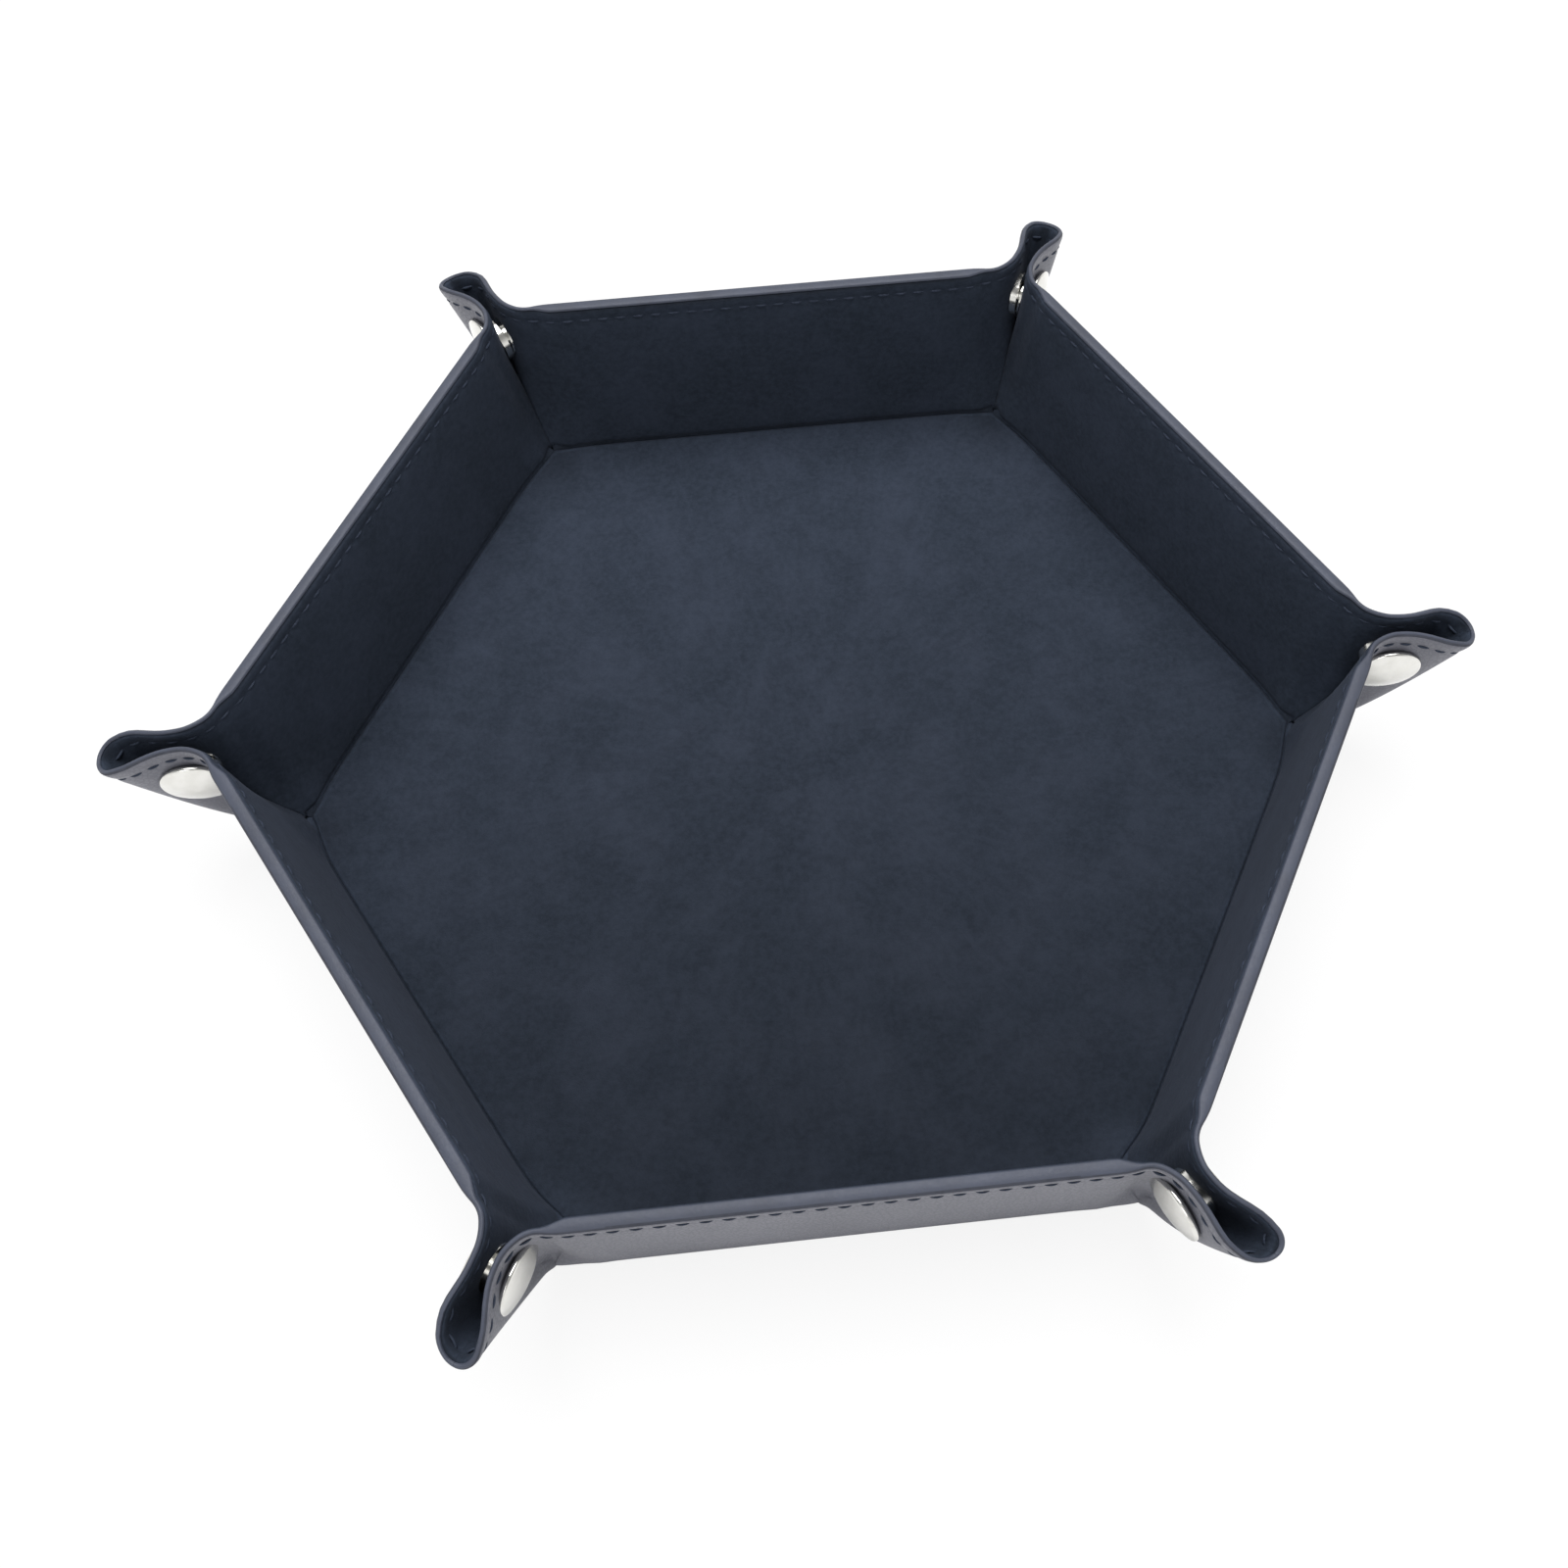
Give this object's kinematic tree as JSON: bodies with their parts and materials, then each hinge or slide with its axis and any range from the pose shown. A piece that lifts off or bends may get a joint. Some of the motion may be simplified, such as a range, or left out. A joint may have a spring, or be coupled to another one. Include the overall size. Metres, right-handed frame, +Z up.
{
  "type": "folding dice tray",
  "caption": "Hexagonal folding dice tray: velvet-lined floor and stiff leather walls that fold up on creases, held at pinched corner ears by snap fasteners.",
  "frame": {"origin": "centre of the floor's underside, on the table plane", "axes": "+Z up out of the tray, +X towards a corner ear, -Y towards the front wall; walls upright at rest"},
  "size_m": [0.2462, 0.2154, 0.0397],
  "materials": {
    "leather": "fine-grained synthetic leather, satin",
    "velvet": "short-pile velvet, matt with a soft sheen",
    "board": "pressed fibreboard, hidden inside",
    "nickel": "polished nickel-plated snap"
  },
  "bodies": {
    "floor": {"floor_leather": "leather", "floor_board": "board", "floor_velvet": "velvet"},
    "back_right_wall": {"back_right_wall_leather": "leather", "back_right_wall_board": "board", "back_right_wall_velvet": "velvet"},
    "back_right_wall_left_flap": {"back_right_wall_left_flap": "leather", "back_right_wall_left_snap_stud": "nickel"},
    "back_right_wall_left_fold": {"back_right_wall_left_fold": "leather"},
    "back_right_wall_right_flap": {"back_right_wall_right_flap": "leather", "back_right_wall_right_snap_socket": "nickel"},
    "back_right_wall_right_fold": {"back_right_wall_right_fold": "leather"},
    "back_wall": {"back_wall_leather": "leather", "back_wall_board": "board", "back_wall_velvet": "velvet"},
    "back_wall_left_flap": {"back_wall_left_flap": "leather", "back_wall_left_snap_stud": "nickel"},
    "back_wall_left_fold": {"back_wall_left_fold": "leather"},
    "back_wall_right_flap": {"back_wall_right_flap": "leather", "back_wall_right_snap_socket": "nickel"},
    "back_wall_right_fold": {"back_wall_right_fold": "leather"},
    "back_left_wall": {"back_left_wall_leather": "leather", "back_left_wall_board": "board", "back_left_wall_velvet": "velvet"},
    "back_left_wall_left_flap": {"back_left_wall_left_flap": "leather", "back_left_wall_left_snap_stud": "nickel"},
    "back_left_wall_left_fold": {"back_left_wall_left_fold": "leather"},
    "back_left_wall_right_flap": {"back_left_wall_right_flap": "leather", "back_left_wall_right_snap_socket": "nickel"},
    "back_left_wall_right_fold": {"back_left_wall_right_fold": "leather"},
    "front_left_wall": {"front_left_wall_leather": "leather", "front_left_wall_board": "board", "front_left_wall_velvet": "velvet"},
    "front_left_wall_left_flap": {"front_left_wall_left_flap": "leather", "front_left_wall_left_snap_stud": "nickel"},
    "front_left_wall_left_fold": {"front_left_wall_left_fold": "leather"},
    "front_left_wall_right_flap": {"front_left_wall_right_flap": "leather", "front_left_wall_right_snap_socket": "nickel"},
    "front_left_wall_right_fold": {"front_left_wall_right_fold": "leather"},
    "front_wall": {"front_wall_leather": "leather", "front_wall_board": "board", "front_wall_velvet": "velvet"},
    "front_wall_left_flap": {"front_wall_left_flap": "leather", "front_wall_left_snap_stud": "nickel"},
    "front_wall_left_fold": {"front_wall_left_fold": "leather"},
    "front_wall_right_flap": {"front_wall_right_flap": "leather", "front_wall_right_snap_socket": "nickel"},
    "front_wall_right_fold": {"front_wall_right_fold": "leather"},
    "front_right_wall": {"front_right_wall_leather": "leather", "front_right_wall_board": "board", "front_right_wall_velvet": "velvet"},
    "front_right_wall_left_flap": {"front_right_wall_left_flap": "leather", "front_right_wall_left_snap_stud": "nickel"},
    "front_right_wall_left_fold": {"front_right_wall_left_fold": "leather"},
    "front_right_wall_right_flap": {"front_right_wall_right_flap": "leather", "front_right_wall_right_snap_socket": "nickel"},
    "front_right_wall_right_fold": {"front_right_wall_right_fold": "leather"}
  },
  "joints": [
    {"name": "back_right_wall_fold", "type": "hinge", "parent": "floor", "child": "back_right_wall", "pos_m": [0.07608, 0.04392, 0.0014], "axis": [-0.5, 0.866, 0], "range_deg": [0, 83.5]},
    {"name": "back_right_wall_left_flap_hinge", "type": "hinge", "parent": "back_right_wall", "child": "back_right_wall_left_flap", "pos_m": [0.05072, 0.08785, 0.0014], "axis": [0.098, 0.0566, 0.9936], "range_deg": [0, 63.34]},
    {"name": "back_right_wall_left_fold_hinge", "type": "hinge", "parent": "back_right_wall_left_flap", "child": "back_right_wall_left_fold", "pos_m": [0.05072, 0.08785, 0.0014], "axis": [-0.3245, -0.4121, -0.8514], "range_deg": [0, 91.45]},
    {"name": "back_right_wall_right_flap_hinge", "type": "hinge", "parent": "back_right_wall", "child": "back_right_wall_right_flap", "pos_m": [0.10144, 0, 0.0014], "axis": [-0.098, -0.0566, -0.9936], "range_deg": [0, 63.34]},
    {"name": "back_right_wall_right_fold_hinge", "type": "hinge", "parent": "back_right_wall_right_flap", "child": "back_right_wall_right_fold", "pos_m": [0.10144, 0, 0.0014], "axis": [0.5191, 0.075, 0.8514], "range_deg": [0, 91.45]},
    {"name": "back_wall_fold", "type": "hinge", "parent": "floor", "child": "back_wall", "pos_m": [0, 0.08785, 0.0014], "axis": [-1, 0, 0], "range_deg": [0, 83.5]},
    {"name": "back_wall_left_flap_hinge", "type": "hinge", "parent": "back_wall", "child": "back_wall_left_flap", "pos_m": [-0.05072, 0.08785, 0.0014], "axis": [0, 0.1132, 0.9936], "range_deg": [0, 63.34]},
    {"name": "back_wall_left_fold_hinge", "type": "hinge", "parent": "back_wall_left_flap", "child": "back_wall_left_fold", "pos_m": [-0.05072, 0.08785, 0.0014], "axis": [0.1946, -0.487, -0.8514], "range_deg": [0, 91.45]},
    {"name": "back_wall_right_flap_hinge", "type": "hinge", "parent": "back_wall", "child": "back_wall_right_flap", "pos_m": [0.05072, 0.08785, 0.0014], "axis": [0, -0.1132, -0.9936], "range_deg": [0, 63.34]},
    {"name": "back_wall_right_fold_hinge", "type": "hinge", "parent": "back_wall_right_flap", "child": "back_wall_right_fold", "pos_m": [0.05072, 0.08785, 0.0014], "axis": [0.1946, 0.487, 0.8514], "range_deg": [0, 91.45]},
    {"name": "back_left_wall_fold", "type": "hinge", "parent": "floor", "child": "back_left_wall", "pos_m": [-0.07608, 0.04392, 0.0014], "axis": [-0.5, -0.866, 0], "range_deg": [0, 83.5]},
    {"name": "back_left_wall_left_flap_hinge", "type": "hinge", "parent": "back_left_wall", "child": "back_left_wall_left_flap", "pos_m": [-0.10144, 0, 0.0014], "axis": [-0.098, 0.0566, 0.9936], "range_deg": [0, 63.34]},
    {"name": "back_left_wall_left_fold_hinge", "type": "hinge", "parent": "back_left_wall_left_flap", "child": "back_left_wall_left_fold", "pos_m": [-0.10144, 0, 0.0014], "axis": [0.5191, -0.075, -0.8514], "range_deg": [0, 91.45]},
    {"name": "back_left_wall_right_flap_hinge", "type": "hinge", "parent": "back_left_wall", "child": "back_left_wall_right_flap", "pos_m": [-0.05072, 0.08785, 0.0014], "axis": [0.098, -0.0566, -0.9936], "range_deg": [0, 63.34]},
    {"name": "back_left_wall_right_fold_hinge", "type": "hinge", "parent": "back_left_wall_right_flap", "child": "back_left_wall_right_fold", "pos_m": [-0.05072, 0.08785, 0.0014], "axis": [-0.3245, 0.4121, 0.8514], "range_deg": [0, 91.45]},
    {"name": "front_left_wall_fold", "type": "hinge", "parent": "floor", "child": "front_left_wall", "pos_m": [-0.07608, -0.04392, 0.0014], "axis": [0.5, -0.866, 0], "range_deg": [0, 83.5]},
    {"name": "front_left_wall_left_flap_hinge", "type": "hinge", "parent": "front_left_wall", "child": "front_left_wall_left_flap", "pos_m": [-0.05072, -0.08785, 0.0014], "axis": [-0.098, -0.0566, 0.9936], "range_deg": [0, 63.34]},
    {"name": "front_left_wall_left_fold_hinge", "type": "hinge", "parent": "front_left_wall_left_flap", "child": "front_left_wall_left_fold", "pos_m": [-0.05072, -0.08785, 0.0014], "axis": [0.3245, 0.4121, -0.8514], "range_deg": [0, 91.45]},
    {"name": "front_left_wall_right_flap_hinge", "type": "hinge", "parent": "front_left_wall", "child": "front_left_wall_right_flap", "pos_m": [-0.10144, 0, 0.0014], "axis": [0.098, 0.0566, -0.9936], "range_deg": [0, 63.34]},
    {"name": "front_left_wall_right_fold_hinge", "type": "hinge", "parent": "front_left_wall_right_flap", "child": "front_left_wall_right_fold", "pos_m": [-0.10144, 0, 0.0014], "axis": [-0.5191, -0.075, 0.8514], "range_deg": [0, 91.45]},
    {"name": "front_wall_fold", "type": "hinge", "parent": "floor", "child": "front_wall", "pos_m": [0, -0.08785, 0.0014], "axis": [1, 0, 0], "range_deg": [0, 83.5]},
    {"name": "front_wall_left_flap_hinge", "type": "hinge", "parent": "front_wall", "child": "front_wall_left_flap", "pos_m": [0.05072, -0.08785, 0.0014], "axis": [0, -0.1132, 0.9936], "range_deg": [0, 63.34]},
    {"name": "front_wall_left_fold_hinge", "type": "hinge", "parent": "front_wall_left_flap", "child": "front_wall_left_fold", "pos_m": [0.05072, -0.08785, 0.0014], "axis": [-0.1946, 0.487, -0.8514], "range_deg": [0, 91.45]},
    {"name": "front_wall_right_flap_hinge", "type": "hinge", "parent": "front_wall", "child": "front_wall_right_flap", "pos_m": [-0.05072, -0.08785, 0.0014], "axis": [0, 0.1132, -0.9936], "range_deg": [0, 63.34]},
    {"name": "front_wall_right_fold_hinge", "type": "hinge", "parent": "front_wall_right_flap", "child": "front_wall_right_fold", "pos_m": [-0.05072, -0.08785, 0.0014], "axis": [-0.1946, -0.487, 0.8514], "range_deg": [0, 91.45]},
    {"name": "front_right_wall_fold", "type": "hinge", "parent": "floor", "child": "front_right_wall", "pos_m": [0.07608, -0.04392, 0.0014], "axis": [0.5, 0.866, 0], "range_deg": [0, 83.5]},
    {"name": "front_right_wall_left_flap_hinge", "type": "hinge", "parent": "front_right_wall", "child": "front_right_wall_left_flap", "pos_m": [0.10144, 0, 0.0014], "axis": [0.098, -0.0566, 0.9936], "range_deg": [0, 63.34]},
    {"name": "front_right_wall_left_fold_hinge", "type": "hinge", "parent": "front_right_wall_left_flap", "child": "front_right_wall_left_fold", "pos_m": [0.10144, 0, 0.0014], "axis": [-0.5191, 0.075, -0.8514], "range_deg": [0, 91.45]},
    {"name": "front_right_wall_right_flap_hinge", "type": "hinge", "parent": "front_right_wall", "child": "front_right_wall_right_flap", "pos_m": [0.05072, -0.08785, 0.0014], "axis": [-0.098, 0.0566, -0.9936], "range_deg": [0, 63.34]},
    {"name": "front_right_wall_right_fold_hinge", "type": "hinge", "parent": "front_right_wall_right_flap", "child": "front_right_wall_right_fold", "pos_m": [0.05072, -0.08785, 0.0014], "axis": [0.3245, -0.4121, 0.8514], "range_deg": [0, 91.45]}
  ],
  "couplings": [
    {"joint": "back_right_wall_fold", "follows": "front_wall_fold", "ratio": 1},
    {"joint": "back_right_wall_left_flap_hinge", "follows": "front_wall_fold", "ratio": 0.75849},
    {"joint": "back_right_wall_left_fold_hinge", "follows": "front_wall_fold", "ratio": 1.0952},
    {"joint": "back_right_wall_right_flap_hinge", "follows": "front_wall_fold", "ratio": 0.75849},
    {"joint": "back_right_wall_right_fold_hinge", "follows": "front_wall_fold", "ratio": 1.0952},
    {"joint": "back_wall_fold", "follows": "front_wall_fold", "ratio": 1},
    {"joint": "back_wall_left_flap_hinge", "follows": "front_wall_fold", "ratio": 0.75849},
    {"joint": "back_wall_left_fold_hinge", "follows": "front_wall_fold", "ratio": 1.0952},
    {"joint": "back_wall_right_flap_hinge", "follows": "front_wall_fold", "ratio": 0.75849},
    {"joint": "back_wall_right_fold_hinge", "follows": "front_wall_fold", "ratio": 1.0952},
    {"joint": "back_left_wall_fold", "follows": "front_wall_fold", "ratio": 1},
    {"joint": "back_left_wall_left_flap_hinge", "follows": "front_wall_fold", "ratio": 0.75849},
    {"joint": "back_left_wall_left_fold_hinge", "follows": "front_wall_fold", "ratio": 1.0952},
    {"joint": "back_left_wall_right_flap_hinge", "follows": "front_wall_fold", "ratio": 0.75849},
    {"joint": "back_left_wall_right_fold_hinge", "follows": "front_wall_fold", "ratio": 1.0952},
    {"joint": "front_left_wall_fold", "follows": "front_wall_fold", "ratio": 1},
    {"joint": "front_left_wall_left_flap_hinge", "follows": "front_wall_fold", "ratio": 0.75849},
    {"joint": "front_left_wall_left_fold_hinge", "follows": "front_wall_fold", "ratio": 1.0952},
    {"joint": "front_left_wall_right_flap_hinge", "follows": "front_wall_fold", "ratio": 0.75849},
    {"joint": "front_left_wall_right_fold_hinge", "follows": "front_wall_fold", "ratio": 1.0952},
    {"joint": "front_wall_left_flap_hinge", "follows": "front_wall_fold", "ratio": 0.75849},
    {"joint": "front_wall_left_fold_hinge", "follows": "front_wall_fold", "ratio": 1.0952},
    {"joint": "front_wall_right_flap_hinge", "follows": "front_wall_fold", "ratio": 0.75849},
    {"joint": "front_wall_right_fold_hinge", "follows": "front_wall_fold", "ratio": 1.0952},
    {"joint": "front_right_wall_fold", "follows": "front_wall_fold", "ratio": 1},
    {"joint": "front_right_wall_left_flap_hinge", "follows": "front_wall_fold", "ratio": 0.75849},
    {"joint": "front_right_wall_left_fold_hinge", "follows": "front_wall_fold", "ratio": 1.0952},
    {"joint": "front_right_wall_right_flap_hinge", "follows": "front_wall_fold", "ratio": 0.75849},
    {"joint": "front_right_wall_right_fold_hinge", "follows": "front_wall_fold", "ratio": 1.0952}
  ]
}
